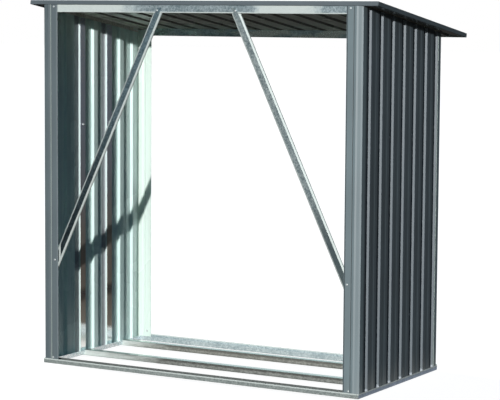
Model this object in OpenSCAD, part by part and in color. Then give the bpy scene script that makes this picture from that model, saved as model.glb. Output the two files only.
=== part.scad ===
// Open log store: corrugated coated sheet on a folded galvanised frame.
// Front faces -Y, the ground is z = 0, and x = y = 0 is the middle of the roof in plan.

/* [Overall] */
// width over the roof trims
roof_width = 1630; // [1400:10:2000]
// depth over the roof trims in plan
roof_depth = 840; // [740:10:1000]
// height of the front edge of the roof
front_height = 1540; // [1200:10:1900]
// fall of the roof towards the back, in degrees
roof_pitch = 8.6; // [5:0.1:13]
// roof edge beyond the base rails at each side
side_overhang = 64; // [30:1:120]
// roof edge in front of the base rails
front_overhang = 0; // [0:1:12]
// roof edge behind the base rails
rear_overhang = 105; // [60:5:160]

/* [Corrugated sheet] */
// thickness of the wall and roof sheets
sheet = 0.8; // [0.5:0.1:1.2]
// depth of a groove below the flats
rib_depth = 12; // [8:0.5:14]
// width of the bottom of a groove
rib_floor = 28; // [22:1:36]
// sideways run of a groove's flank
flank_run = 4; // [2:0.5:8]
// spacing of the grooves in the walls
wall_pitch = 102.5; // [90:0.5:130]
// shift of the walls' grooves towards the back
wall_shift = 4; // [0:1:8]
// spacing of the ribs in the roof
roof_rib_pitch = 107; // [90:0.5:130]
// width of the shallow swage along each flat
swage_width = 24; // [16:1:32]
// depth of that swage
swage_depth = 1.2; // [0.8:0.1:1.8]
// sideways run of the swage's sides
swage_run = 4; // [3:0.5:6]
// least flat left at the edge of a wall or roof
edge_flat = 20; // [12:1:30]
// overlap of neighbouring sheets at a seam
seam_lap = 20; // [14:1:21]
// radius of the rolled bends
sheet_bend = 2; // [1.6:0.1:2.4]
// sheets in the roof
roof_panels = 4; // [2:1:5]

/* [Corner posts] */
// thickness of a post
post_sheet = 1; // [0.8:0.1:1.2]
// width of a post's front face
post_face = 71; // [66:1:90]
// width of the bevel at the corner
post_edge = 6.5; // [5:0.5:8]
// depth behind the rib where that bevel ends
edge_fall = 4.9; // [4.5:0.1:5.5]
// depth behind the rib where the side flange starts
post_corner = 8.2; // [7.5:0.1:12]
// length of the side flange
post_side = 26; // [24:1:34]
// start of the rib's outer slope, from the side
post_rib_foot = 19.5; // [17:0.5:21]
// depth behind the rib at the foot of that slope
post_rib_rise = 2.8; // [2:0.1:3.5]
// start of the top of the rib, from the side
post_rib_top = 26.5; // [24:0.5:29]
// inner edge of the rib, from the side
post_band = 36; // [34:0.5:42]
// fall of the rib's top towards its inner edge
band_fall = 0.5; // [0.3:0.1:1]
// width of the groove beside the rib
groove_width = 3.6; // [3.4:0.1:4.5]
// depth of the groove's floor behind the rib
groove_depth = 6; // [5.5:0.1:6.5]
// sideways run of the groove's sides
groove_run = 0.8; // [0.5:0.1:0.9]
// depth of the inner band behind the rib
post_step = 2.6; // [2:0.1:2.8]
// width of the turned-back inner edge
post_hem = 6; // [5:1:10]
// how far that edge turns back
hem_fall = 1.2; // [0.8:0.1:2]
// radius of the bends at the groove's floor
groove_bend = 0.5; // [0.3:0.1:0.6]
// radius of a post's bends
post_bend = 1.6; // [1.4:0.1:2]

/* [Base frame] */
// thickness of the galvanised rails
rail_sheet = 1.2; // [0.9:0.1:1.5]
// width of a base rail
base_width = 42; // [30:1:52]
// height of a base rail's flanges
base_height = 20; // [14:1:26]
// height of the rear base rail's outer flange
base_rear_height = 25; // [20:1:36]
// radius of the rails' bends
rail_bend = 2.4; // [2:0.1:3]
// width of a floor slat's top
slat_top = 32; // [24:1:44]
// height of a floor slat
slat_height = 23; // [14:1:28]
// width of a slat's foot on each side
slat_foot = 9; // [7:1:14]
// share of the depth at the middle of each slat
slat_shares = [0.355, 0.757];

/* [Top frame] */
// height of the front top rail
front_rail_height = 35; // [26:1:50]
// height of the rear top rail
rear_rail_height = 29; // [18:1:40]
// depth of a top rail's upper flange
rail_flange = 24; // [16:1:32]
// depth of a top rail's lower lip
rail_lip = 10; // [7:1:14]
// height of a side top rail
side_rail_height = 18; // [12:1:26]
// end of a top rail from the groove of the post
rail_end_gap = 3; // [2:1:8]
// gap between neighbouring rails
rail_gap = 0.6; // [0.3:0.1:1]

/* [Braces] */
// thickness of a brace
brace_sheet = 1; // [0.8:0.1:1.2]
// width of a brace over its lips
brace_width = 37; // [32:1:46]
// width of the flat between the bevels
brace_flat = 23; // [18:1:26]
// depth of the bevels behind the flat
brace_fall = 4; // [3:0.5:5]
// depth of the lips behind the flat
brace_lip = 9; // [8:1:12]
// radius of a brace's bends
brace_bend = 1.8; // [1.5:0.1:2.2]
// lean of a brace from upright, in degrees
brace_lean = 25.7; // [20:0.1:35]
// distance of a brace's middle line from the centre, at the front rail's lower edge
brace_top = 184; // [120:1:260]
// height of the brace's tongue on the front rail
brace_tongue = 22; // [14:1:24]
// narrowing of the tongue on each side
tongue_ease = 2.5; // [2:0.5:4]
// gap between the lips and the front rail
lip_gap = 0.6; // [0.3:0.1:2]
// lower end of a brace from the groove of the post
brace_end_gap = 7; // [4:1:12]

/* [Roof trims] */
// thickness of a trim
trim_sheet = 0.8; // [0.6:0.1:1.2]
// height of a trim's outer face
trim_height = 18; // [17:1:24]
// width of a trim's upper lip
trim_top = 22; // [14:1:32]
// radius of a trim's bends
trim_bend = 1.8; // [1.5:0.1:2.2]
// gap between the roof sheet and the trims
roof_gap = 0.6; // [0.3:0.1:1]

/* [Hidden] */
// steps in each bend
bend_steps = 3;
// how far a cutting shape runs past what it cuts
overrun = 6;
body_width = roof_width - 2 * side_overhang;
body_depth = roof_depth - front_overhang - rear_overhang;
half_width = body_width / 2;
front_y = front_overhang - roof_depth / 2;
rear_y = front_y + body_depth;
// line of the top of the trims, from the front edge down the fall
roof_start = trim_height * sin(roof_pitch) - roof_depth / 2;
roof_run = (roof_depth - trim_height * sin(roof_pitch)) / cos(roof_pitch);
// depth of the underside of the roof sheets below the top of the trims
seat_drop = trim_sheet + rib_depth + 2 * sheet;
rib_width = rib_floor + 2 * flank_run;
// wall sheets start behind the corner of a post and touch its side flange
wall_start = post_corner + 2 * post_sheet;
wall_run = body_depth - 2 * rail_sheet - 2 * wall_start;
wall_panels = 3;
roof_sheet_width = roof_width - 2 * trim_sheet - 2 * roof_gap;
// back of the posts' inner edge, then the braces, then the front rail, from the front backwards
post_back = post_step + hem_fall + post_sheet;
brace_y = front_y + rail_sheet + post_back;
front_rail_y = brace_y + brace_sheet;
rear_rail_y = rear_y - rail_sheet - post_back;
rail_half = half_width - rail_sheet - post_band - groove_width - rail_end_gap;
brace_half = half_width - rail_sheet - post_band - groove_width - brace_end_gap;
// inner face of the wall sheets at their seams
side_rail_x = half_width - rail_sheet - post_sheet - rib_depth - 2 * sheet;
// the lower lip of the trims stops short of the front rail
trim_under = front_overhang + rail_sheet + post_step;
front_rail_foot = roof_z(front_rail_y, seat_drop) - front_rail_height;
rear_rail_foot = roof_z(rear_rail_y, seat_drop) - rear_rail_height;
coat = [0.36, 0.40, 0.42];
zinc = [0.72, 0.76, 0.78];

// height of a plane under the roof, a square distance below the top of the trims
function roof_z(y, drop) = front_height - (y - roof_start) * tan(roof_pitch) - drop / cos(roof_pitch);
// distance down the fall of a point at that depth
function fall_at(y, drop) = (y - roof_start + drop * sin(roof_pitch)) / cos(roof_pitch);

function unit(v) = v / norm(v);
function left_of(v) = [-v[1], v[0]];
function turn(v, a) = [v[0] * cos(a) - v[1] * sin(a), v[0] * sin(a) + v[1] * cos(a)];
function cross_of(a, b) = a[0] * b[1] - a[1] * b[0];
function heading(p, i) = unit(p[i + 1] - p[i]);

// points of the bend at corner i of a line, with its radius
function bend(p, i, radius) =
    let (before = heading(p, i - 1))
    let (after = heading(p, i))
    let (angle = atan2(cross_of(before, after), before * after))
    let (side = sign(angle))
    let (middle = p[i] - before * radius * tan(abs(angle) / 2) + left_of(before) * side * radius)
    [for (k = [0 : bend_steps]) middle - turn(left_of(before) * side * radius, angle * k / bend_steps)];

// the radius is one for all corners, or a list with one for each point
function bent(p, radius) =
    concat([p[0]], [for (i = [1 : len(p) - 2]) each bend(p, i, is_list(radius) ? radius[i] : radius)],
        [p[len(p) - 1]]);

// way from point i of a line to the other face of the sheet, which lies to its left
function across(p, i) =
    i == 0 ? left_of(heading(p, 0)) :
    i == len(p) - 1 ? left_of(heading(p, i - 1)) :
    let (one = left_of(heading(p, i - 1)))
    let (two = left_of(heading(p, i)))
    (one + two) / (1 + one * two);

// section of a folded sheet: one face follows the line, the other is to its left
module folded(line, thickness, radius) {
    face = bent(line, radius);
    last = len(face) - 1;
    back = [for (i = [last : -1 : 0]) face[i] + across(face, i) * thickness];
    polygon(concat(face, back));
}

// the space under the roof, down to the ground
module below_roof(drop) {
    from = front_y - overrun;
    to = rear_y + overrun;
    outline = [[from, 0], [to, 0], [to, roof_z(to, drop)], [from, roof_z(from, drop)]];
    translate([-half_width - overrun, 0, 0])
        rotate([90, 0, 90])
            linear_extrude(height = body_width + 2 * overrun)
                polygon(outline);
}

// what follows is drawn with y down the fall and z square to it, from the front edge
module on_roof() {
    translate([0, roof_start, front_height])
        rotate([-roof_pitch, 0, 0])
            children();
}

module front_to_back() {
    translate([0, front_y + rear_y, 0])
        mirror([0, 1, 0])
            children();
}

// a folded rail that runs along x, with its section given in y and z
module rail_along_x(half_length) {
    translate([-half_length, 0, 0])
        rotate([90, 0, 90])
            linear_extrude(height = 2 * half_length)
                children();
}

// keeps the part of a rail between two mitres that open away from y = 0
module mitred(length, depth, low, high) {
    reach = depth + overrun;
    outer = length / 2;
    inner = outer - reach;
    intersection() {
        children();
        translate([0, 0, low])
            linear_extrude(height = high - low)
                polygon([[-outer, 0], [outer, 0], [inner, reach], [-inner, reach]]);
    }
}

// base rail: a channel open upwards, outer face at y = 0
module base_rail(length, outer_height) {
    line = [[0, outer_height], [0, 0], [base_width, 0], [base_width, base_height]];
    mitred(length, base_width, -overrun, outer_height + overrun)
        rail_along_x(length / 2)
            folded(line, rail_sheet, rail_bend);
}

// floor slat: a hat section between the side rails, with its feet on the ground
module floor_slat(share) {
    top = slat_top / 2 - rail_sheet;
    foot = slat_top / 2 + slat_foot;
    inside = slat_height - rail_sheet;
    line = [[-foot, 0], [-top, 0], [-top, inside], [top, inside], [top, 0], [foot, 0]];
    translate([0, front_y + body_depth * share, 0])
        rail_along_x(half_width - base_width)
            folded(line, rail_sheet, rail_bend);
}

// section of the front left post in plan: bevel, flat, rib, groove, inner band and turned edge
module post_section() {
    groove_end = post_band + groove_width;
    line = [[0, post_corner + post_side], [0, post_corner], [post_edge, edge_fall],
        [post_rib_foot, post_rib_rise], [post_rib_top, 0], [post_band, band_fall],
        [post_band + groove_run, groove_depth],
        [groove_end - groove_run, groove_depth], [groove_end, post_step], [post_face - post_hem, post_step],
        [post_face, post_step + hem_fall]];
    radii = [for (point = line) point[1] == groove_depth ? groove_bend : post_bend];
    translate([rail_sheet - half_width, front_y + rail_sheet, 0])
        folded(line, post_sheet, radii);
}

module post_bar() {
    translate([0, 0, rail_sheet])
        linear_extrude(height = front_height)
            post_section();
}

module front_post() {
    intersection() {
        post_bar();
        below_roof(trim_height);
    }
}

module rear_post() {
    intersection() {
        front_to_back()
            post_bar();
        below_roof(trim_height);
    }
}

function rib_count(run, pitch) = floor((run - rib_width - 2 * edge_flat) / pitch) + 1;
function rib_at(i, run, pitch) = run / 2 + (i - (rib_count(run, pitch) - 1) / 2) * pitch;
// groove that sheet k of a wall or roof shares with the next one
function seam_rib(k, sheets, count) = floor(count * (k + 1) / sheets);

function groove(at) = [[at - rib_width / 2, 0], [at - rib_floor / 2, rib_depth],
    [at + rib_floor / 2, rib_depth], [at + rib_width / 2, 0]];
function swage(at) = [[at - swage_width / 2, 0], [at - swage_width / 2 + swage_run, swage_depth],
    [at + swage_width / 2 - swage_run, swage_depth], [at + swage_width / 2, 0]];
// a seam: the first sheet ends on the floor of the groove, the next one lies inside it
function seam_end(at) = [[at - rib_width / 2, 0], [at - rib_floor / 2, rib_depth],
    [at + seam_lap / 2, rib_depth]];
function seam_start(at) = [[at - seam_lap / 2, rib_depth + sheet], [at + rib_floor / 2, rib_depth + sheet],
    [at + rib_width / 2, 0]];

// line of sheet k across a wall or roof, with depth to its left and all its grooves shifted along
function sheet_line(k, sheets, run, pitch, shift) =
    let (count = rib_count(run, pitch))
    let (at = function (i) rib_at(i, run, pitch) + shift)
    let (first = k == 0 ? 0 : seam_rib(k - 1, sheets, count) + 1)
    let (last = k == sheets - 1 ? count - 1 : seam_rib(k, sheets, count) - 1)
    let (begin = k == 0 ? [[0, 0]] : seam_start(at(first - 1)))
    let (finish = k == sheets - 1 ? [[run, 0]] : seam_end(at(last + 1)))
    let (lead = k == 0 ? [] : swage(at(first) - pitch / 2))
    let (tail = k == sheets - 1 ? [] : swage(at(last) + pitch / 2))
    let (between = [for (i = [first : last])
        each concat(groove(at(i)), i < last ? swage(at(i) + pitch / 2) : [])])
    concat(begin, lead, between, tail, finish);

// sheet k of the left wall, from the front
module wall_sheet(k) {
    line = sheet_line(k, wall_panels, wall_run, wall_pitch, wall_shift);
    intersection() {
        translate([rail_sheet + post_sheet - half_width, front_y + rail_sheet + wall_start, rail_sheet])
            mirror([1, -1, 0])
                linear_extrude(height = front_height)
                    folded(line, sheet, sheet_bend);
        below_roof(seat_drop);
    }
}

// sheet k of the roof, from the left
module roof_sheet(k) {
    length = roof_run - 2 * trim_sheet - 2 * roof_gap;
    line = sheet_line(k, roof_panels, roof_sheet_width, roof_rib_pitch, 0);
    on_roof()
        translate([-roof_sheet_width / 2, trim_sheet + roof_gap + length, -seat_drop])
            rotate([90, 0, 0])
                linear_extrude(height = length)
                    folded(line, sheet, sheet_bend);
}

// side rail: an angle under the roof sheet against the wall's inner ridges, on the left
module side_top_rail() {
    from = fall_at(front_rail_y + rail_flange, seat_drop) + rail_gap;
    to = fall_at(rear_rail_y - rail_flange, seat_drop) - rail_gap;
    line = [[rail_flange - side_rail_x, -seat_drop], [-side_rail_x, -seat_drop],
        [-side_rail_x, -seat_drop - side_rail_height]];
    on_roof()
        translate([0, to, 0])
            rotate([90, 0, 0])
                linear_extrude(height = to - from)
                    folded(line, rail_sheet, rail_bend);
}

// left brace: a shallow channel with bevelled edges that leans inwards, with a flat tongue on the front rail
module brace() {
    shoulder = front_rail_foot - lip_gap;
    tip = front_rail_foot + brace_tongue;
    wide = brace_width / 2 + overrun;
    narrow = brace_flat / 2 - tongue_ease;
    at = function (z, p) (z - front_rail_foot) * tan(brace_lean) + p / cos(brace_lean) - brace_top;
    low = function (p) front_rail_foot + (brace_top - brace_half - p / cos(brace_lean)) / tan(brace_lean);
    outline = [[-brace_half, low(-wide)], [at(shoulder, -wide), shoulder], [at(shoulder, -narrow), shoulder],
        [at(tip, -narrow), tip], [at(tip, narrow), tip], [at(shoulder, narrow), shoulder],
        [at(shoulder, wide), shoulder], [-brace_half, low(wide)]];
    side = brace_width / 2;
    flat = brace_flat / 2;
    line = [[-side, brace_lip], [-side, brace_fall], [-flat, 0], [flat, 0], [side, brace_fall],
        [side, brace_lip]];
    intersection() {
        translate([-brace_top, brace_y, front_rail_foot])
            rotate([0, brace_lean, 0])
                translate([0, 0, -front_height])
                    linear_extrude(height = front_height + body_width)
                        folded(line, brace_sheet, brace_bend);
        translate([0, brace_y + brace_lip + overrun, 0])
            rotate([90, 0, 0])
                linear_extrude(height = brace_lip + 2 * overrun)
                    polygon(outline);
    }
}

// roof trim with mitred ends, outer face at y = 0 and top at z = 0
module roof_trim(length) {
    line = [[trim_top, 0], [0, 0], [0, -trim_height], [trim_under, -trim_height]];
    mitred(length, trim_top, -trim_height - overrun, overrun)
        rail_along_x(length / 2)
            folded(line, trim_sheet, trim_bend);
}

module front_base_rail() {
    color(zinc)
        translate([0, front_y, 0])
            base_rail(body_width, base_height);
}

module rear_base_rail() {
    color(zinc)
        front_to_back()
            translate([0, front_y, 0])
                base_rail(body_width, base_rear_height);
}

module left_base_rail() {
    color(zinc)
        translate([-half_width, front_y + body_depth / 2, 0])
            rotate([0, 0, -90])
                base_rail(body_depth, base_height);
}

module right_base_rail() {
    color(zinc)
        mirror([1, 0, 0])
            translate([-half_width, front_y + body_depth / 2, 0])
                rotate([0, 0, -90])
                    base_rail(body_depth, base_height);
}

module front_floor_slat() {
    color(zinc)
        floor_slat(slat_shares[0]);
}

module rear_floor_slat() {
    color(zinc)
        floor_slat(slat_shares[1]);
}

module front_left_post() {
    color(coat)
        front_post();
}

module front_right_post() {
    color(coat)
        mirror([1, 0, 0])
            front_post();
}

module rear_left_post() {
    color(coat)
        rear_post();
}

module rear_right_post() {
    color(coat)
        mirror([1, 0, 0])
            rear_post();
}

module left_wall_front_sheet() {
    color(coat)
        wall_sheet(0);
}

module left_wall_middle_sheet() {
    color(coat)
        wall_sheet(1);
}

module left_wall_rear_sheet() {
    color(coat)
        wall_sheet(2);
}

module right_wall_front_sheet() {
    color(coat)
        mirror([1, 0, 0])
            wall_sheet(0);
}

module right_wall_middle_sheet() {
    color(coat)
        mirror([1, 0, 0])
            wall_sheet(1);
}

module right_wall_rear_sheet() {
    color(coat)
        mirror([1, 0, 0])
            wall_sheet(2);
}

module front_top_rail() {
    end_y = front_rail_y + rail_flange;
    line = [[end_y, roof_z(end_y, seat_drop)], [front_rail_y, roof_z(front_rail_y, seat_drop)],
        [front_rail_y, front_rail_foot], [front_rail_y + rail_lip, front_rail_foot]];
    color(zinc)
        rail_along_x(rail_half)
            folded(line, rail_sheet, rail_bend);
}

module rear_top_rail() {
    end_y = rear_rail_y - rail_flange;
    line = [[rear_rail_y - rail_lip, rear_rail_foot], [rear_rail_y, rear_rail_foot],
        [rear_rail_y, roof_z(rear_rail_y, seat_drop)], [end_y, roof_z(end_y, seat_drop)]];
    color(zinc)
        rail_along_x(rail_half)
            folded(line, rail_sheet, rail_bend);
}

module left_top_rail() {
    color(zinc)
        side_top_rail();
}

module right_top_rail() {
    color(zinc)
        mirror([1, 0, 0])
            side_top_rail();
}

module left_brace() {
    color(zinc)
        brace();
}

module right_brace() {
    color(zinc)
        mirror([1, 0, 0])
            brace();
}

module roof_left_sheet() {
    color(coat)
        roof_sheet(0);
}

module roof_centre_left_sheet() {
    color(coat)
        roof_sheet(1);
}

module roof_centre_right_sheet() {
    color(coat)
        roof_sheet(2);
}

module roof_right_sheet() {
    color(coat)
        roof_sheet(3);
}

module front_roof_trim() {
    color(coat)
        on_roof()
            roof_trim(roof_width);
}

module rear_roof_trim() {
    color(coat)
        on_roof()
            translate([0, roof_run, 0])
                rotate([0, 0, 180])
                    roof_trim(roof_width);
}

module left_roof_trim() {
    color(coat)
        on_roof()
            translate([-roof_width / 2, roof_run / 2, 0])
                rotate([0, 0, -90])
                    roof_trim(roof_run);
}

module right_roof_trim() {
    color(coat)
        on_roof()
            translate([roof_width / 2, roof_run / 2, 0])
                rotate([0, 0, 90])
                    roof_trim(roof_run);
}

front_base_rail();
rear_base_rail();
left_base_rail();
right_base_rail();
front_floor_slat();
rear_floor_slat();
front_left_post();
front_right_post();
rear_left_post();
rear_right_post();
left_wall_front_sheet();
left_wall_middle_sheet();
left_wall_rear_sheet();
right_wall_front_sheet();
right_wall_middle_sheet();
right_wall_rear_sheet();
front_top_rail();
rear_top_rail();
left_top_rail();
right_top_rail();
left_brace();
right_brace();
roof_left_sheet();
roof_centre_left_sheet();
roof_centre_right_sheet();
roof_right_sheet();
front_roof_trim();
rear_roof_trim();
left_roof_trim();
right_roof_trim();
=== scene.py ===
"""Open log store: coated corrugated sheet on a folded galvanised frame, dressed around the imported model."""

from math import cos, radians, sin, tan

import bmesh
import bpy
from mathutils import Matrix, Vector


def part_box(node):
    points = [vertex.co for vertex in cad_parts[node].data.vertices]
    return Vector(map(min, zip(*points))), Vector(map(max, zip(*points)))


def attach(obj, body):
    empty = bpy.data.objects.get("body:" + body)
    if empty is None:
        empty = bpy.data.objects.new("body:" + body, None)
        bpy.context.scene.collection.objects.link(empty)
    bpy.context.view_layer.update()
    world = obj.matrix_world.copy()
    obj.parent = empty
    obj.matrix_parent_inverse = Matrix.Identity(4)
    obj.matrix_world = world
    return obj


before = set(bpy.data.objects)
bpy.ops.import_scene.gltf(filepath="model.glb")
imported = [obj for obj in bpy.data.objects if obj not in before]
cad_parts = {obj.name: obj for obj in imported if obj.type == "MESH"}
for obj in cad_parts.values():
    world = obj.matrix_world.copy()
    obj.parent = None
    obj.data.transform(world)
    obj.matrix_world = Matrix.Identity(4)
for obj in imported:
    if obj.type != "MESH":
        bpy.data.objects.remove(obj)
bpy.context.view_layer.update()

LEFT, RIGHT = -1, 1
FRONT, REAR = -1, 1
SIDES = ((LEFT, "left"), (RIGHT, "right"))
ENDS = ((FRONT, "front"), (REAR, "rear"))


def lowest(node):
    """Lowest corner of a node of the frame."""
    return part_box(node)[0]


def highest(node):
    """Highest corner of a node of the frame."""
    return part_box(node)[1]


# the roof's slope and the line of the top of its trims, in radians and metres
ROOF_FALL = radians(8.6)
ROOF_FRONT_Y = -0.41731
ROOF_FRONT_Z = 1.540
ROOF_UP = Vector((0, sin(ROOF_FALL), cos(ROOF_FALL)))
# how far square below the top of the trims these lie: the top faces of the roof's pans and of the trims'
# lower lips, the middle of the side rails and the tops of the seam strips
PAN_DROP = 0.0136
TRIM_LIP_DROP = 0.010
SIDE_RAIL_MIDDLE_DROP = 0.0248
STRIP_TOP_DROP = 0.0345
# thickness of the sheets that bolts go through, and how far a post's inner band lies behind its rolled rib
WALL_SHEET = 0.0008
POST_SHEET = 0.0010
BRACE_SHEET = 0.0010
RAIL_SHEET = 0.0012
BAND_STEP = 0.00258
# faces of those sheets
POST_BAND_Y = {FRONT: lowest("front_right_post").y + BAND_STEP,
               REAR: highest("rear_right_post").y - BAND_STEP}
POST_BACK_Y = {FRONT: POST_BAND_Y[FRONT] + POST_SHEET, REAR: POST_BAND_Y[REAR] - POST_SHEET}
BRACE_Y = lowest("right_brace").y
BRACE_BACK_Y = BRACE_Y + BRACE_SHEET
FRONT_RAIL_BACK_Y = lowest("front_top_rail").y + RAIL_SHEET
REAR_RAIL_INNER_Y = highest("rear_top_rail").y - RAIL_SHEET
SIDE_RAIL_X = highest("right_top_rail").x - RAIL_SHEET
FRONT_RAIL_FOOT = lowest("front_top_rail").z
# a brace: where its middle crosses the foot of the front rail, the width of its flat and its lean
BRACE_TOP_X = 0.184
BRACE_FLAT = 0.023
BRACE_LEAN = radians(25.7)
# wall seams: the inner face, the outer face of the two lapped sheets, the middle of each lap, and how far in
# front of that the bare flank lies
SEAM_X = lowest("right_wall_middle_sheet").x
SEAM_OUT_X = SEAM_X + 2 * WALL_SHEET
SEAM_YS = ((highest("right_wall_front_sheet").y + lowest("right_wall_middle_sheet").y) / 2,
           (highest("right_wall_middle_sheet").y + lowest("right_wall_rear_sheet").y) / 2)
LAP_FLANK = 0.031
# base and slats: their heights, and a line between the two flanges of the front base rail
BASE_HEIGHT = highest("front_base_rail").z
REAR_BASE_HEIGHT = highest("rear_base_rail").z
SLAT_HEIGHT = highest("front_floor_slat").z
FLANGE_CLEARANCE = 0.015
BETWEEN_FLANGES_Y = lowest("front_base_rail").y + FLANGE_CLEARANCE


def roof_z(y, drop):
    """Height of a plane that lies a square distance below the top of the roof trims."""
    return ROOF_FRONT_Z - (y - ROOF_FRONT_Y) * tan(ROOF_FALL) - drop / cos(ROOF_FALL)


def paint(red, green, blue):
    """A colour as it is read off a paint chart, made linear."""
    def linear(part):
        share = part / 255
        return share / 12.92 if share <= 0.04045 else ((share + 0.055) / 1.055) ** 2.4
    return (linear(red), linear(green), linear(blue), 1.0)


# shader sums
class Value:
    """One output of a shader node, for use in Python sums."""

    def __init__(self, finish, socket):
        self.finish = finish
        self.socket = socket

    def math(self, operation, *parts):
        return self.finish.node("ShaderNodeMath", {"operation": operation}, dict(enumerate(parts)))

    def __add__(self, other):
        return self.math("ADD", self, other)

    def __radd__(self, other):
        return self.math("ADD", other, self)

    def __sub__(self, other):
        return self.math("SUBTRACT", self, other)

    def __rsub__(self, other):
        return self.math("SUBTRACT", other, self)

    def __mul__(self, other):
        return self.math("MULTIPLY", self, other)

    def __rmul__(self, other):
        return self.math("MULTIPLY", other, self)

    def __gt__(self, other):
        return self.math("GREATER_THAN", self, other)

    def __lt__(self, other):
        return self.math("LESS_THAN", self, other)

    def __abs__(self):
        return self.math("ABSOLUTE", self)

    def either(self, other):
        return self.math("MAXIMUM", self, other)

    def ease(self, low, high):
        """0 below low, 1 above high, and smooth between them."""
        return self.finish.node("ShaderNodeMapRange", {"interpolation_type": "SMOOTHSTEP"},
                                {"Value": self, "From Min": low, "From Max": high})


class Finish:
    """A node tree, with one method that adds any node."""

    # sockets of a Mix node that mixes colours
    MIX_SHARE, MIX_FIRST, MIX_SECOND, MIX_RESULT = 0, 6, 7, 2

    def __init__(self, tree):
        self.tree = tree
        tree.nodes.clear()

    def node(self, kind, settings, inputs, output=0):
        made = self.tree.nodes.new(kind)
        for name, setting in settings.items():
            setattr(made, name, setting)
        for name, given in inputs.items():
            if isinstance(given, Value):
                self.tree.links.new(given.socket, made.inputs[name])
            else:
                made.inputs[name].default_value = given
        return Value(self, made.outputs[output]) if made.outputs else made

    def place(self):
        return self.node("ShaderNodeTexCoord", {}, {}, "Object")

    def axis(self, vector, name):
        return self.node("ShaderNodeSeparateXYZ", {}, {"Vector": vector}, name)

    def along(self, vector, direction):
        """How far a vector of length 1 points along a direction, from -1 to 1."""
        return self.node("ShaderNodeVectorMath", {"operation": "DOT_PRODUCT"},
                         {0: vector, 1: Vector(direction).normalized()}, "Value")

    def facing(self, direction):
        """How far a face looks along a direction, from -1 to 1."""
        return self.along(self.node("ShaderNodeNewGeometry", {}, {}, "True Normal"), direction)

    def ray(self, kind):
        """1 for one kind of light ray, and 0 for the others."""
        return self.node("ShaderNodeLightPath", {}, {}, kind)

    def stretched(self, vector, scale):
        return self.node("ShaderNodeMapping", {}, {"Vector": vector, "Scale": scale})

    def noise(self, vector, scale, detail, roughness=0.5):
        return self.node("ShaderNodeTexNoise", {},
                         {"Vector": vector, "Scale": scale, "Detail": detail, "Roughness": roughness})

    def flakes(self, vector, scale):
        """Crystal cells, each with a level of its own."""
        cells = self.node("ShaderNodeTexVoronoi", {"feature": "F1"},
                          {"Vector": vector, "Scale": scale}, "Color")
        return self.axis(cells, "X")

    def mix(self, share, first, second):
        return self.node("ShaderNodeMix", {"data_type": "RGBA"},
                         {self.MIX_SHARE: share, self.MIX_FIRST: first, self.MIX_SECOND: second},
                         self.MIX_RESULT)

    def bump(self, height, distance, strength, under=None):
        inputs = {"Height": height, "Distance": distance, "Strength": strength}
        if under is not None:
            inputs["Normal"] = under
        return self.node("ShaderNodeBump", {}, inputs)

    def surface(self, **inputs):
        named = {name.replace("_", " "): given for name, given in inputs.items()}
        shader = self.node("ShaderNodeBsdfPrincipled", {}, named)
        self.node("ShaderNodeOutputMaterial", {}, {"Surface": shader})


def new_finish(name):
    material = bpy.data.materials.new(name)
    material.use_nodes = True
    return material, Finish(material.node_tree)


# coated sheet: a coat and a lining are a paler and a darker tone, which clouds and streaks mix
WALL_COAT = paint(85, 97, 102), paint(76, 86, 91)
# painted light and shade: a bluer tone for wall flanks that look forward, and a dark tone for flanks that
# look back and for the posts' folds
WALL_COAT_LIT_FLANK = paint(68, 82, 91)
WALL_COAT_SHADED = paint(30, 35, 38)
# painted light: the right posts' coat is lighter than the left posts', standing for how the light falls on
# each side
POST_COAT_LIT_AND_SHADED = {LEFT: (paint(93, 106, 110), paint(84, 96, 100)),
             RIGHT: (paint(110, 126, 130), paint(100, 114, 118))}
WALL_LINING = paint(226, 247, 241), paint(206, 232, 226)
POST_LINING = paint(221, 236, 227), paint(213, 228, 219)
LAP_ZINC = paint(164, 168, 172)
# painted highlight at the foot of a wall's forward flanks
FOOT_GLINT = paint(160, 168, 175)
# the roof lining is the pale backing coat with a warm tint of painted light bounced up from the ground; the
# dark tone after it is painted shade
ROOF_LINING = paint(205, 204, 188)
ROOF_PAINTED_SHADE = paint(96, 92, 82)
DUST = paint(150, 152, 148)
SATIN_SHEEN = 0.9
# painted shade in the folds of the posts: how far from the middle of the store, and how dark
POST_FOLD_SHADE = {LEFT: ((0.7115, 0.35),), RIGHT: ((0.7115, 0.45), (0.6826, 0.6))}
# distances from the middle of a fold and of a lap within which its tone fades out
FOLD_FADE = 0.0016, 0.0028
LAP_FADE = 0.012, 0.016
# heights between which splashed dust and the painted glint at the foot of a wall's forward flanks fade out
SPLASH_FADE = 0.015, 0.13
FOOT_GLINT_FADE = 0.022, 0.030
# how squarely a groove's flank looks forward or back before its painted light or shade sets in
FLANK_FADE = 0.35, 0.75
# where the roof's underside passes over the outside of a wall, and its painted shade sets in
OVERHANG_FADE = 0.738, 0.742


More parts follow.
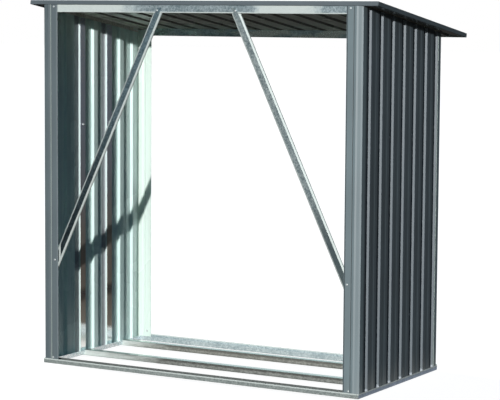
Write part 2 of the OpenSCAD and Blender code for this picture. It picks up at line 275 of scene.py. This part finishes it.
def coated_sheet(name, inside, coat, lining=WALL_LINING, under_roof=False, wall=False, folds=()):
    """Satin anthracite outside and a pale backing coat inside; inside is a function that marks the inside."""
    material, finish = new_finish(name)
    place = finish.place()
    inner = inside(finish, place)
    cloud = finish.noise(place, 3.2, 2.0)
    streak = finish.noise(finish.stretched(place, (26, 26, 1.3)), 1.0, 3.0, 0.6)
    grain = finish.noise(place, 620, 1.0)
    height = finish.axis(place, "Z")
    splash = (1 - height.ease(*SPLASH_FADE)) * streak.ease(0.42, 0.7) * 0.4
    pale_coat, dark_coat = coat
    outer_tone = finish.mix(cloud.ease(0.3, 0.7) * 0.6 + streak * 0.4, dark_coat, pale_coat)
    outer_tone = finish.mix(splash, outer_tone, DUST)
    # painted shade along the folds
    for fold_x, darkness in folds:
        line = 1 - abs(abs(finish.axis(place, "X")) - fold_x).ease(*FOLD_FADE)
        outer_tone = finish.mix(line * darkness, outer_tone, WALL_COAT_SHADED)
    inner_tone = finish.mix(streak.ease(0.35, 0.75), *lining)
    if wall:
        # painted light and shade by which way a groove's flank looks
        forward = finish.facing((0, -1, 0))
        outer_tone = finish.mix(forward.ease(*FLANK_FADE) * 0.7, outer_tone, WALL_COAT_LIT_FLANK)
        outer_tone = finish.mix((0 - forward).ease(*FLANK_FADE) * 0.8, outer_tone, WALL_COAT_SHADED)
        # a painted glint where the forward flanks meet the base
        painted_foot_glint = (1 - height.ease(*FOOT_GLINT_FADE)) * forward.ease(0.4, 0.7)
        outer_tone = finish.mix(painted_foot_glint, outer_tone, FOOT_GLINT)
        depth = finish.axis(place, "Y")
        for seam_y in SEAM_YS:
            lap = 1 - abs(depth - seam_y + LAP_FLANK).ease(*LAP_FADE)
            inner_tone = finish.mix(lap, inner_tone, LAP_ZINC)
    if under_roof:
        # painted shade on the sideways flanks of the roof's ribs and under the overhangs
        flank = abs(finish.facing((1, 0, 0))).ease(0.2, 0.6)
        overhang = abs(finish.axis(place, "X")).ease(*OVERHANG_FADE)
        inner_tone = finish.mix(flank.either(overhang) * 0.9, ROOF_LINING, ROOF_PAINTED_SHADE)
    wave = finish.noise(finish.stretched(place, (5, 5, 2.2)), 1.0, 1.0)
    finish.surface(Base_Color=finish.mix(inner, outer_tone, inner_tone),
                   Roughness=0.47 + cloud * 0.10 - inner * 0.25 + splash * 0.2,
                   Specular_IOR_Level=SATIN_SHEEN,
                   Normal=finish.bump(grain, 0.0001, 0.3, finish.bump(wave, 0.004, 0.4)))
    return material


def facing_inside(direction):
    """Marks the faces that look along a direction as the inside."""
    def mask(finish, place):
        return finish.facing(direction) > 0
    return mask


def trim_inside(outward):
    """Marks the back of a trim and the underside of its upper lip as the inside."""
    def mask(finish, place):
        looks_out = finish.facing((outward[0], outward[1], 0.5)) > 0
        height = finish.axis(place, "Z") + finish.axis(place, "Y") * tan(ROOF_FALL)
        lower_lip = height < ROOF_FRONT_Z + ROOF_FRONT_Y * tan(ROOF_FALL) - TRIM_LIP_DROP
        under = finish.facing((0, 0, -1)) > 0.7
        return (1 - looks_out) * (1 - lower_lip * under)
    return mask


# spangled zinc: a pale dull state, which masks below use for painted highlights and reflections, and its
# bright state
ZINC_PALE_DULL = paint(202, 210, 205)
ZINC_BRIGHT = paint(188, 203, 198)
PALE_DULL_METAL = 0.15
BRIGHT_METAL = 0.95
BRIGHT_ROUGHNESS = 0.18


def galvanised(name, dark, pale, metal=0.85, roughness=0.40, pale_and_dull=None, darkening=None, darkened=None,
               polish=None, flecks=0.0):
    """Crystal flakes over a slow cloud, darkened, made pale and dull, or bright where a mask says so; several
    masks paint shade, highlights or reflections.
    """
    material, finish = new_finish(name)
    place = finish.place()
    bend = finish.node("ShaderNodeTexNoise", {}, {"Vector": place, "Scale": 90.0}, "Color")
    bend = finish.node("ShaderNodeVectorMath", {"operation": "SCALE"}, {0: bend, "Scale": 0.009})
    bent = finish.node("ShaderNodeVectorMath", {"operation": "ADD"}, {0: place, 1: bend})
    flake = finish.flakes(bent, 150.0)
    fine = finish.flakes(bent, 380.0)
    cloud = finish.noise(place, 11.0, 3.0, 0.6)
    tone = (flake * 0.34 + fine * 0.26 + cloud * 0.6).ease(0.25, 0.95)
    colour = finish.mix(tone, dark, pale)
    shine = roughness + fine * 0.12
    metallic = metal
    if darkening is not None:
        colour = finish.mix(darkening(finish, place) * (0.75 + fine * 0.25), colour, darkened)
    if flecks:
        colour = finish.mix((fine * 0.7 + flake * 0.3).ease(0.62, 0.95) * flecks, colour, pale)
    if pale_and_dull is not None:
        dull = pale_and_dull(finish, place)
        colour = finish.mix(dull * (0.82 + fine * 0.18), colour, ZINC_PALE_DULL)
        shine = shine + dull * 0.15
        metallic = metal - dull * (metal - PALE_DULL_METAL)
    if polish is not None:
        bright = polish(finish, place)
        colour = finish.mix(bright, colour, ZINC_BRIGHT)
        shine = shine - bright * (roughness - BRIGHT_ROUGHNESS)
        metallic = metallic + bright * (BRIGHT_METAL - metallic)
    finish.surface(Base_Color=colour, Metallic=metallic, Roughness=shine,
                   Normal=finish.bump(flake, 0.0003, 0.22))
    return material


# along the front rail: where the left arm's pale stretch ends, and where the right arm's starts and ends
LEFT_ARM_END = -0.40, -0.26
RIGHT_ARM_START = 0.21, 0.31
RIGHT_ARM_END = 0.50, 0.60
# near the foot of the left brace: where the pale stretch beside the post, a painted reflection, starts and
# stops
BRACE_END_START = 0.6655, 0.6670
BRACE_END_STOP = 0.6745, 0.6755
# heights between which the braces' darkening fades out
BRACE_DARKENING_FADE = 0.55, 1.40
FOOT_DARKENING_FADE = 0.55, 0.85
# the slats: where the painted reflection over the left end stops, and where the painted dark band of a side
# starts
SLAT_REFLECTION_END = -0.66, -0.40
SLAT_BAND_START = 0.010, 0.015
# a y behind the whole store
BEHIND_ALL = 2.0


def rail_pale_arms_and_edge_highlight(finish, place):
    """The front rail is pale and dull along both arms, with a painted highlight along its lower edge, and
    stays bright over the middle.
    """
    ragged = finish.axis(place, "X") + finish.noise(place, 9.0, 4.0, 0.7) * 0.24 - 0.12
    left_arm = 1 - ragged.ease(*LEFT_ARM_END)
    right_arm = ragged.ease(*RIGHT_ARM_START) * (1 - ragged.ease(*RIGHT_ARM_END))
    edge = 1 - finish.axis(place, "Z").ease(FRONT_RAIL_FOOT + 0.0040, FRONT_RAIL_FOOT + 0.0055)
    return (left_arm + right_arm).either(edge)


def rail_patches(finish, place):
    """Bright patches along the rear rail."""
    return finish.noise(finish.stretched(place, (7, 7, 25)), 1.0, 3.0, 0.6).ease(0.44, 0.56)


def brace_highlight(side, pale_end):
    """Painted highlights: the bevels and lips of a brace are paler than its flat, and so is its lower end, as
    a painted reflection, if pale_end is true.
    """
    def mask(finish, place):
        out = finish.axis(place, "X") * side
        drop = FRONT_RAIL_FOOT - finish.axis(place, "Z")
        off_line = abs((out - BRACE_TOP_X - drop * tan(BRACE_LEAN)) * cos(BRACE_LEAN))
        pale = off_line.ease(BRACE_FLAT / 2 - 0.0008, BRACE_FLAT / 2 + 0.0002)
        if pale_end:
            pale = pale.either(out.ease(*BRACE_END_START) * (1 - out.ease(*BRACE_END_STOP)))
        return pale * 0.9
    return mask


def brace_darkening(finish, place):
    """A brace's zinc is darker in cloudy patches towards its foot."""
    cloud = finish.noise(place, 7.0, 3.0, 0.6) * 0.5 - 0.25
    return 1 - (finish.axis(place, "Z") + cloud).ease(*BRACE_DARKENING_FADE)


def brace_foot_darkening(finish, place):
    """The lowest part of a brace is darker."""
    cloud = finish.noise(place, 9.0, 3.0, 0.6) * 0.4 - 0.2
    return 1 - (finish.axis(place, "Z") + cloud).ease(*FOOT_DARKENING_FADE)


def edge_highlight(height, behind=BEHIND_ALL):
    """Painted highlight: the upper edge of a base rail's flanges is pale, as far back as y = behind."""
    def mask(finish, place):
        ragged = finish.axis(place, "Z") + finish.noise(place, 60.0, 2.0) * 0.002 - 0.001
        return ragged.ease(height - 0.0055, height - 0.0040) * (finish.axis(place, "Y") < behind)
    return mask


def channel_painted_shade(finish, place):
    """Painted shade: the front base rail is darker behind its front flange."""
    return (finish.axis(place, "Y") > BETWEEN_FLANGES_Y) * 0.95


def slat_end_reflection(finish, place):
    """Painted reflection: a slat is pale and dull over its left end in ragged patches."""
    patches = finish.noise(finish.stretched(place, (4, 18, 40)), 1.0, 3.0)
    ragged = finish.axis(place, "X") + patches * 0.5 - 0.25
    return 1 - (ragged + finish.axis(place, "Y") * 0.5).ease(*SLAT_REFLECTION_END)


def slat_polish(finish, place):
    """The top of a slat stays bright."""
    return finish.axis(place, "Z").ease(SLAT_HEIGHT - 0.0025, SLAT_HEIGHT - 0.0010)


def slat_band_reflection(finish, place):
    """Painted reflection: the sides of a slat have a dark band under the top."""
    patches = finish.noise(finish.stretched(place, (30, 1, 1)), 1.0, 3.0)
    ragged = finish.axis(place, "Z") + patches * 0.008 - 0.004
    return ragged.ease(*SLAT_BAND_START) * (1 - ragged.ease(SLAT_HEIGHT - 0.002, SLAT_HEIGHT - 0.001))


def bolt_metal(name, dark, pale):
    """Plain fastener metal with a fine wear."""
    material, finish = new_finish(name)
    worn = finish.noise(finish.place(), 400, 2.0)
    finish.surface(Base_Color=finish.mix(worn, dark, pale), Metallic=0.35,
                   Roughness=0.30 + worn * 0.2, Normal=finish.bump(worn, 0.0002, 0.3))
    return material


# a seam strip: its tones, which are painted reflections, the height of the dark smudge round its lower nut,
# and the slope of its pale foot, a painted reflection of the bright ground
STRIP_BROWN = paint(160, 148, 136)
STRIP_GREY = paint(166, 176, 192)
STRIP_SPANGLE = paint(214, 208, 206)
STRIP_SMUDGE = paint(66, 62, 62)
STRIP_FOOT_REFLECTION = paint(250, 253, 253)
SMUDGE_HEIGHT = 0.262
FOOT_SLOPE = 0.21
FOOT_FADE = 0.092, 0.112


def seam_steel():
    """Rolled strip with a fine draw; its tone is painted reflection: browner low down, greyer near the roof,
    and pale at its foot.
    """
    material, finish = new_finish("rolled_seam_strip")
    place = finish.place()
    drawn = finish.noise(finish.stretched(place, (160, 160, 5)), 1.0, 3.0)
    cloud = finish.noise(finish.stretched(place, (30, 30, 5)), 1.0, 3.0) * 0.3 - 0.15
    spangle = finish.flakes(place, 260.0)
    level = finish.axis(place, "Z")
    height = level + cloud
    tone = finish.mix(height.ease(0.35, 1.10), STRIP_BROWN, STRIP_GREY)
    tone = finish.mix(spangle.ease(0.3, 1.0) * height.ease(0.7, 1.3) * 0.6, tone, STRIP_SPANGLE)
    smudge = 1 - abs(level + cloud * 0.08 - SMUDGE_HEIGHT).ease(0.010, 0.040)
    tone = finish.mix(smudge * 0.75, tone, STRIP_SMUDGE)
    painted_foot_reflection = 1 - (level + finish.axis(place, "Y") * FOOT_SLOPE + cloud * 0.03).ease(*FOOT_FADE)
    tone = finish.mix(painted_foot_reflection, tone, STRIP_FOOT_REFLECTION)
    finish.surface(Base_Color=tone, Metallic=0.5 + painted_foot_reflection * 0.5,
                   Roughness=0.26 + drawn * 0.14 - painted_foot_reflection * 0.14, Normal=finish.bump(drawn, 0.0002, 0.25))
    return material


def dress(material, *names):
    """Gives nodes of the frame a finish."""
    for name in names:
        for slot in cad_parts[name].material_slots:
            slot.material = material


for side, word in SIDES:
    dress(coated_sheet(word + "_wall_coat", facing_inside((-side, 0, 0)), WALL_COAT, wall=True),
          *(f"{word}_wall_{part}_sheet" for part in ("front", "middle", "rear")))
    dress(coated_sheet(word + "_trim_coat", trim_inside((side, 0)), WALL_COAT), word + "_roof_trim")
    for end, end_word in ENDS:
        dress(coated_sheet(f"{end_word}_{word}_post_coat", facing_inside((-0.3 * side, -end, 0)),
                           POST_COAT_LIT_AND_SHADED[side], POST_LINING, folds=POST_FOLD_SHADE[side]),
              f"{end_word}_{word}_post")
for end, word in ENDS:
    dress(coated_sheet(word + "_trim_coat", trim_inside((0, end)), WALL_COAT), word + "_roof_trim")
dress(coated_sheet("roof_coat", facing_inside((0, 0, -1)), WALL_COAT, under_roof=True),
      *(f"roof_{part}_sheet" for part in ("left", "centre_left", "centre_right", "right")))

dress(galvanised("front_rail_zinc", paint(130, 150, 157), paint(198, 212, 216), pale_and_dull=rail_pale_arms_and_edge_highlight),
      "front_top_rail")
dress(galvanised("left_brace_zinc", paint(80, 103, 112), paint(134, 156, 164), pale_and_dull=brace_highlight(LEFT, True),
                 darkening=brace_darkening, darkened=paint(19, 28, 33), flecks=0.30), "left_brace")
dress(galvanised("right_brace_zinc", paint(115, 132, 137), paint(190, 202, 202),
                 pale_and_dull=brace_highlight(RIGHT, False), darkening=brace_foot_darkening, darkened=paint(86, 100, 103)),
      "right_brace")
dress(galvanised("rear_rail_zinc", paint(128, 154, 160), paint(206, 226, 229), polish=rail_patches),
      "rear_top_rail")
dress(galvanised("side_rail_zinc", paint(178, 178, 168), paint(222, 221, 213), metal=0.1),
      "left_top_rail", "right_top_rail")
dress(galvanised("front_base_zinc", paint(122, 131, 128), paint(164, 172, 168), metal=0.3,
                 pale_and_dull=edge_highlight(BASE_HEIGHT, BETWEEN_FLANGES_Y), darkening=channel_painted_shade,
                 darkened=paint(88, 91, 89), flecks=0.3), "front_base_rail")
dress(galvanised("left_base_zinc", paint(186, 202, 210), paint(248, 251, 252), metal=0.9, roughness=0.20),
      "left_base_rail")
dress(galvanised("right_base_zinc", paint(122, 138, 158), paint(164, 180, 199), metal=0.35,
                 pale_and_dull=edge_highlight(BASE_HEIGHT)), "right_base_rail")
dress(galvanised("rear_base_zinc", paint(140, 158, 162), paint(200, 212, 212), metal=0.3,
                 pale_and_dull=edge_highlight(REAR_BASE_HEIGHT)), "rear_base_rail")
# the third tone of each slat is its painted dark band
for word, dark, pale, darkened in (("front", paint(106, 109, 104), paint(150, 153, 148), paint(70, 72, 68)),
                                  ("rear", paint(112, 114, 107), paint(156, 157, 150), paint(92, 93, 87))):
    dress(galvanised(word + "_slat_zinc", dark, pale, metal=0.3, roughness=0.36, pale_and_dull=slat_end_reflection,
                     darkening=slat_band_reflection, darkened=darkened, polish=slat_polish, flecks=0.4),
          word + "_floor_slat")

bolt_finish = bolt_metal("plated_bolt", paint(190, 196, 196), paint(216, 220, 218))
dark_bolt_finish = bolt_metal("blackened_bolt", paint(52, 50, 50), paint(70, 66, 64))
strip_finish = seam_steel()

# new pieces
# the slabs that a fastener is stacked from: radius, foot, top, number of sides and ease of the upper rim
SUNK = -0.0002
FASTENER_SLABS = {
    "head": ((0.0040, SUNK, 0.0028, 20, 0.0014),),
    "nut": ((0.0050, SUNK, 0.0010, 24, 0.0003),
            (0.0042, 0.0008, 0.0042, 6, 0.0005),
            (0.0020, 0.0040, 0.0088, 14, 0.0006)),
    "screw": ((0.0062, SUNK, 0.0012, 24, 0.0004),
              (0.0046, 0.0010, 0.0034, 20, 0.0012)),
}
# how far each fastener is turned from the one before it
FASTENER_TURN = radians(23)


def mesh_of(name, shape):
    """Turns a bmesh into a mesh."""
    mesh = bpy.data.meshes.new(name)
    shape.to_mesh(mesh)
    shape.free()
    return mesh


def add_piece(name, shape, material):
    """Makes a bmesh a piece of the store."""
    mesh = mesh_of(name, shape)
    mesh.materials.append(material)
    piece = bpy.data.objects.new(name, mesh)
    bpy.context.scene.collection.objects.link(piece)
    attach(piece, "root")


def ease_edges(shape, edges, offset):
    """Rounds edges over with two small steps."""
    bmesh.ops.bevel(shape, geom=edges, offset=offset, offset_type="OFFSET", affect="EDGES", segments=2,
                    profile=0.5, material=-1)


def slab(radius, low, high, sides, rim_ease):
    """A round or six-sided slab that stands on z = low, with its upper rim eased."""
    # a bmesh of its own, because faces beside another slab's come in a new order each run
    shape = bmesh.new()
    made = bmesh.ops.create_circle(shape, cap_ends=True, segments=sides, radius=radius,
                                   matrix=Matrix.Translation((0, 0, low)))
    face = made["verts"][0].link_faces[0]
    raised = bmesh.ops.extrude_face_region(shape, geom=[face])["geom"]
    top = [part for part in raised if isinstance(part, bmesh.types.BMVert)]
    bmesh.ops.translate(shape, vec=(0, 0, high - low), verts=top)
    rim = [edge for edge in shape.edges if all(corner in top for corner in edge.verts)]
    ease_edges(shape, rim, rim_ease)
    return mesh_of("fastener_slab", shape)


def fastener(kind):
    """A fastener that stands on z = 0: a pan head, a nut with the bolt's end, or a capped roof screw."""
    shape = bmesh.new()
    for sizes in FASTENER_SLABS[kind]:
        shape.from_mesh(slab(*sizes))
    bmesh.ops.recalc_face_normals(shape, faces=shape.faces)
    return mesh_of("fastener_" + kind, shape)


fasteners = {kind: fastener(kind) for kind in FASTENER_SLABS}


def add_fasteners(name, places, material):
    """Fasteners at (kind, point, outward direction), as one piece."""
    shape = bmesh.new()
    for count, (kind, point, outward) in enumerate(places):
        before = len(shape.verts)
        shape.from_mesh(fasteners[kind])
        shape.verts.ensure_lookup_table()
        aim = Vector(outward).to_track_quat("Z", "Y").to_matrix().to_4x4()
        turn = Matrix.Rotation(FASTENER_TURN * count, 4, "Z")
        bmesh.ops.transform(shape, matrix=Matrix.Translation(point) @ aim @ turn, verts=shape.verts[before:])
    add_piece(name, shape, material)


def through_bolt(end, x, z, head_y, nut_y):
    """A bolt whose head looks out of the front or the rear, and whose nut looks in."""
    return [("head", (x, head_y, z), (0, end, 0)), ("nut", (x, nut_y, z), (0, -end, 0))]


# bolts through the frame on the right side: x, z, the face under the head and the face under the nut
FRAME_BOLTS = {
    FRONT: ((BRACE_TOP_X, 1.500, BRACE_Y, FRONT_RAIL_BACK_Y),
            (0.694, 0.446, POST_BAND_Y[FRONT], BRACE_BACK_Y),
            (0.696, 1.513, POST_BAND_Y[FRONT], FRONT_RAIL_BACK_Y),
            (0.705, 0.027, POST_BAND_Y[FRONT], POST_BACK_Y[FRONT])),
    REAR: ((0.696, 1.402, POST_BAND_Y[REAR], REAR_RAIL_INNER_Y),
           (0.700, 0.038, POST_BAND_Y[REAR], POST_BACK_Y[REAR])),
}
SIDE_RAIL_NUT_YS = (0.252, 0.271)
frame_bolts = {FRONT: [], REAR: []}
for side in (LEFT, RIGHT):
    for end in (FRONT, REAR):
        for x, z, head_y, nut_y in FRAME_BOLTS[end]:
            frame_bolts[end] += through_bolt(end, side * x, z, head_y, nut_y)
    for y in SIDE_RAIL_NUT_YS:
        point = (side * SIDE_RAIL_X, y, roof_z(y, SIDE_RAIL_MIDDLE_DROP))
        frame_bolts[REAR].append(("nut", point, (-side, 0, 0)))
for end, word in ENDS:
    add_fasteners(word + "_frame_bolts", frame_bolts[end], bolt_finish)

# seam strips on the inner ridges where the wall sheets lap, with their bolts
STRIP_WIDTH = 0.038
STRIP_SHEET = 0.0012
STRIP_FOOT = 0.004
STRIP_EASE = 0.0006
SEAM_BOLT_ZS = (0.27, 1.006)


def seam_strip(side, seam_y):
    """A flat strip from the base to just under the roof, with its two inner upright edges eased."""
    shape = bmesh.new()
    top = roof_z(seam_y, STRIP_TOP_DROP)
    middle_x = SEAM_X - STRIP_SHEET / 2
    bmesh.ops.create_cube(shape, size=1.0)
    bmesh.ops.scale(shape, vec=(STRIP_SHEET, STRIP_WIDTH, top - STRIP_FOOT), verts=shape.verts)
    bmesh.ops.translate(shape, vec=(side * middle_x, seam_y, (top + STRIP_FOOT) / 2), verts=shape.verts)
    upright = [edge for edge in shape.edges if edge.calc_length() > STRIP_WIDTH * 2
               and abs(edge.verts[0].co.x) < middle_x]
    ease_edges(shape, upright, STRIP_EASE)
    return shape


for side, word in SIDES:
    wall_bolts, lower_nuts = [], []
    for seam_y, seam_word in zip(SEAM_YS, ("front", "rear")):
        add_piece(f"{word}_wall_{seam_word}_seam_strip", seam_strip(side, seam_y), strip_finish)
        for z, nuts in zip(SEAM_BOLT_ZS, (lower_nuts, wall_bolts)):
            nuts.append(("nut", (side * (SEAM_X - STRIP_SHEET), seam_y, z), (-side, 0, 0)))
            wall_bolts.append(("screw", (side * SEAM_OUT_X, seam_y, z), (side, 0, 0)))
    add_fasteners(word + "_wall_bolts", wall_bolts, bolt_finish)
    add_fasteners(word + "_wall_lower_nuts", lower_nuts, dark_bolt_finish)

# roof screws beside the ribs, over the front and rear rails
RIB_PITCH = 0.107
RIB_SIDE = 0.030
RIBS = range(-7, 7)
ROOF_SCREW_YS = (-0.400, 0.296)
roof_screws = [("screw", (rib * RIB_PITCH + RIB_SIDE, y, roof_z(y, PAN_DROP)), ROOF_UP)
               for y in ROOF_SCREW_YS for rib in RIBS]
add_fasteners("roof_screws", roof_screws, bolt_finish)

# floor and light: the camera sees white, and these are the shares of it that fill the shade or are mirrored
SKY_FILL = 0.085
SKY_MIRRORED = 0.06
BACKDROP_MIRRORED = 0.85
HIGH_SKY_MIRRORED = 0.70
FRONT_SKY_MIRRORED = 0.60
FLOOR_MIRRORED = 0.03
FRONT_FLOOR_MIRRORED = 0.26
INNER_FLOOR_MIRRORED = 0.9
# the floor's own glow, which its lit surface adds to
FLOOR_GLOW = 0.88
WHITE = (1, 1, 1, 1)
PALE_SKY = (0.84, 0.97, 1.0, 1)
DEEP_SKY = (0.06, 0.45, 1.0, 1)
WARM_GROUND = (1.0, 0.97, 0.93, 1)
FLOOR_SEEN = (0.25, 0.25, 0.25, 1)
FLOOR_BOUNCE = (0.032, 0.030, 0.028, 1)
# the floor's half width and its gap below the store
FLOOR_REACH = 60
FLOOR_GAP = 0.0005
# where the floor before the store ends, and where the floor inside it starts and ends
FRONT_FLOOR_END = -1.2, -0.5
INNER_FLOOR_START = -0.46, -0.38
INNER_FLOOR_END = 0.40, 0.75
INNER_FLOOR_HALF_WIDTH = 0.80
# the middle of the backdrop and of the bright sky before the store
BACKDROP_WAY = (-0.5, 0.85, 0.26)
FRONT_SKY_WAY = (0.5, -0.85, 0.30)


def studio_white(finish, fill, mirrored):
    """Strength of the white around the store: full to the camera, less in what mirrors it."""
    seen = finish.ray("Is Camera Ray")
    glossy = finish.ray("Is Glossy Ray")
    through = finish.ray("Is Transmission Ray")
    return fill + (seen + through) * (1 - fill) + glossy * (mirrored - fill)


def floor_finish():
    """Pale floor that keeps the store's shadow."""
    material, finish = new_finish("pale_floor")
    seen = finish.ray("Is Camera Ray")
    bare = finish.node("ShaderNodeBsdfDiffuse", {}, {"Color": finish.mix(seen, FLOOR_BOUNCE, FLOOR_SEEN)})
    place = finish.place()
    depth = finish.axis(place, "Y")
    between_walls = abs(finish.axis(place, "X")) < INNER_FLOOR_HALF_WIDTH
    inner = depth.ease(*INNER_FLOOR_START) * (1 - depth.ease(*INNER_FLOOR_END)) * between_walls
    mirrored = (FRONT_FLOOR_MIRRORED
                + depth.ease(*FRONT_FLOOR_END) * (FLOOR_MIRRORED - FRONT_FLOOR_MIRRORED)
                + inner * (INNER_FLOOR_MIRRORED - FLOOR_MIRRORED))
    glow = finish.node("ShaderNodeEmission", {},
                       {"Color": finish.mix(seen, WARM_GROUND, WHITE),
                        "Strength": studio_white(finish, 0.0, mirrored) * FLOOR_GLOW})
    both = finish.node("ShaderNodeAddShader", {}, {0: bare, 1: glow})
    finish.node("ShaderNodeOutputMaterial", {}, {"Surface": both})
    return material


def add_floor():
    """Lays the floor just below the store."""
    shape = bmesh.new()
    bmesh.ops.create_grid(shape, x_segments=1, y_segments=1, size=FLOOR_REACH)
    bmesh.ops.translate(shape, vec=(0, 0, -FLOOR_GAP), verts=shape.verts)
    mesh = mesh_of("studio_floor", shape)
    mesh.materials.append(floor_finish())
    floor = bpy.data.objects.new("studio_floor", mesh)
    bpy.context.scene.collection.objects.link(floor)


def add_sky():
    """White to the camera, blue in the shade, and bright or dim by direction in what mirrors it."""
    world = bpy.data.worlds.new("studio")
    world.use_nodes = True
    bpy.context.scene.world = world
    finish = Finish(world.node_tree)
    towards = finish.node("ShaderNodeTexCoord", {}, {}, "Generated")
    backdrop = finish.along(towards, BACKDROP_WAY).ease(0.82, 0.95)
    front_sky = finish.along(towards, FRONT_SKY_WAY).ease(0.84, 0.95)
    high_sky = finish.axis(towards, "Z").ease(0.50, 0.68)
    mirrored = (SKY_MIRRORED
                + backdrop * (BACKDROP_MIRRORED - SKY_MIRRORED)
                + high_sky * (HIGH_SKY_MIRRORED - SKY_MIRRORED)
                + front_sky * (FRONT_SKY_MIRRORED - SKY_MIRRORED))
    unseen_tone = finish.mix(finish.ray("Is Glossy Ray"), DEEP_SKY, PALE_SKY)
    sky = finish.node("ShaderNodeBackground", {},
                      {"Color": finish.mix(finish.ray("Is Camera Ray"), unseen_tone, WHITE),
                       "Strength": studio_white(finish, SKY_FILL, mirrored)})
    finish.node("ShaderNodeOutputWorld", {}, {"Surface": sky})


def add_lamp(name, towards, strength, spread):
    """A far lamp that shines along a direction; spread is how wide it looks, in degrees."""
    light = bpy.data.lights.new(name, "SUN")
    light.energy = strength
    light.angle = radians(spread)
    holder = bpy.data.objects.new(name, light)
    holder.rotation_euler = Vector(towards).to_track_quat("-Z", "Y").to_euler()
    bpy.context.scene.collection.objects.link(holder)


add_floor()
add_sky()
add_lamp("key_light", (-1.0, 3.7, -0.80), 3.5, 0.9)
add_lamp("side_light", (0.80, -0.10, -0.60), 2.4, 8)
add_lamp("back_light", (0.0, -1.0, -0.75), 1.0, 3)

# camera: its place in metres, its turns, and its focal length in pixels of the photograph
CAMERA_AT = Vector((4.0623, -7.0290, 1.4980))
YAW, PITCH, ROLL = radians(-29.917), radians(-5.587), radians(0.386)
FOCAL_PIXELS = 1927.6
PHOTO_WIDTH_PIXELS = 500
SENSOR_WIDTH = 36
SIGHT = 200


def add_camera():
    """The photograph's viewpoint."""
    ahead = Vector((sin(YAW) * cos(PITCH), cos(YAW) * cos(PITCH), sin(PITCH)))
    level_right = Vector((cos(YAW), -sin(YAW), 0))
    level_up = level_right.cross(ahead)
    right = level_right * cos(ROLL) + level_up * sin(ROLL)
    up = level_up * cos(ROLL) - level_right * sin(ROLL)
    data = bpy.data.cameras.new("photo_camera")
    data.sensor_width = SENSOR_WIDTH
    data.lens = SENSOR_WIDTH * FOCAL_PIXELS / PHOTO_WIDTH_PIXELS
    data.clip_end = SIGHT
    camera = bpy.data.objects.new("photo_camera", data)
    turn = Matrix((right, up, -ahead)).transposed().to_4x4()
    camera.matrix_world = Matrix.Translation(CAMERA_AT) @ turn
    bpy.context.scene.collection.objects.link(camera)
    bpy.context.scene.camera = camera


add_camera()
bpy.context.scene.view_settings.view_transform = "Standard"
